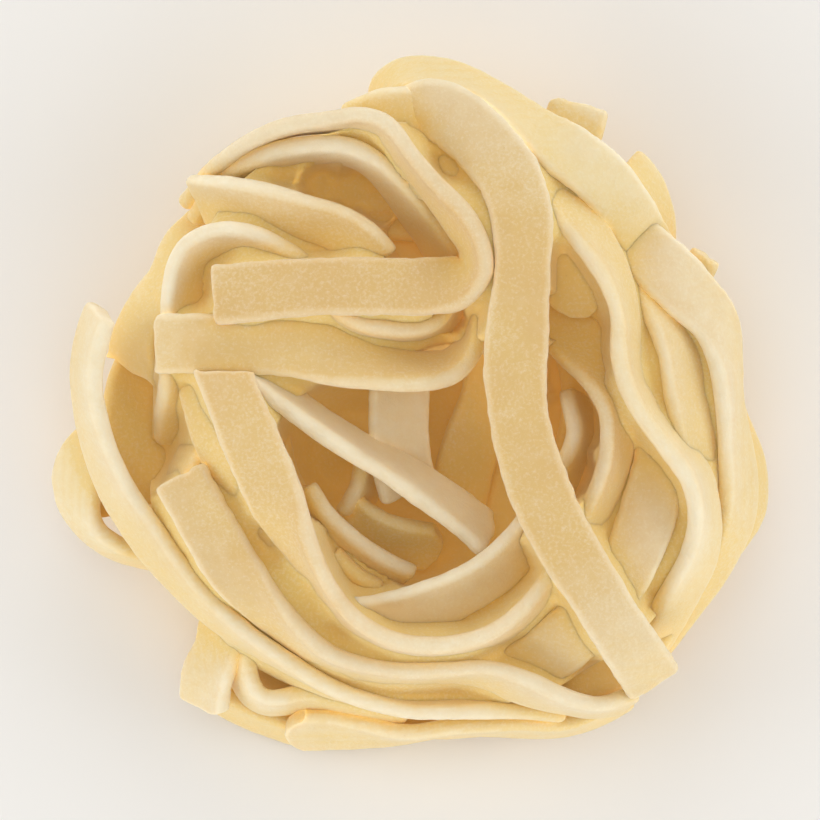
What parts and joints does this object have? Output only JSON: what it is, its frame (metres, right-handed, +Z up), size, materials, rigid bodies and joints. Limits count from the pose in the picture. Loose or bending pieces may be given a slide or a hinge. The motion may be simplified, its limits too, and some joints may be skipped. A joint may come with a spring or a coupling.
{
  "type": "fresh pasta nest",
  "caption": "Loose round nest of fresh flat ribbon pasta, with crossed, folded and looped strands around a shallow hollow.",
  "frame": {"origin": "middle of the flat underside, under the middle of the overall box", "axes": "+Z up, out of the nest's open top; +X to the right in the picture, +Y to its top edge"},
  "size_m": [0.091, 0.0882, 0.0366],
  "materials": {
    "pasta": "matte, lightly floured egg dough, pale cream with yellow in the grooves"
  },
  "bodies": {
    "root": {"pasta_nest": "pasta"}
  },
  "joints": []
}
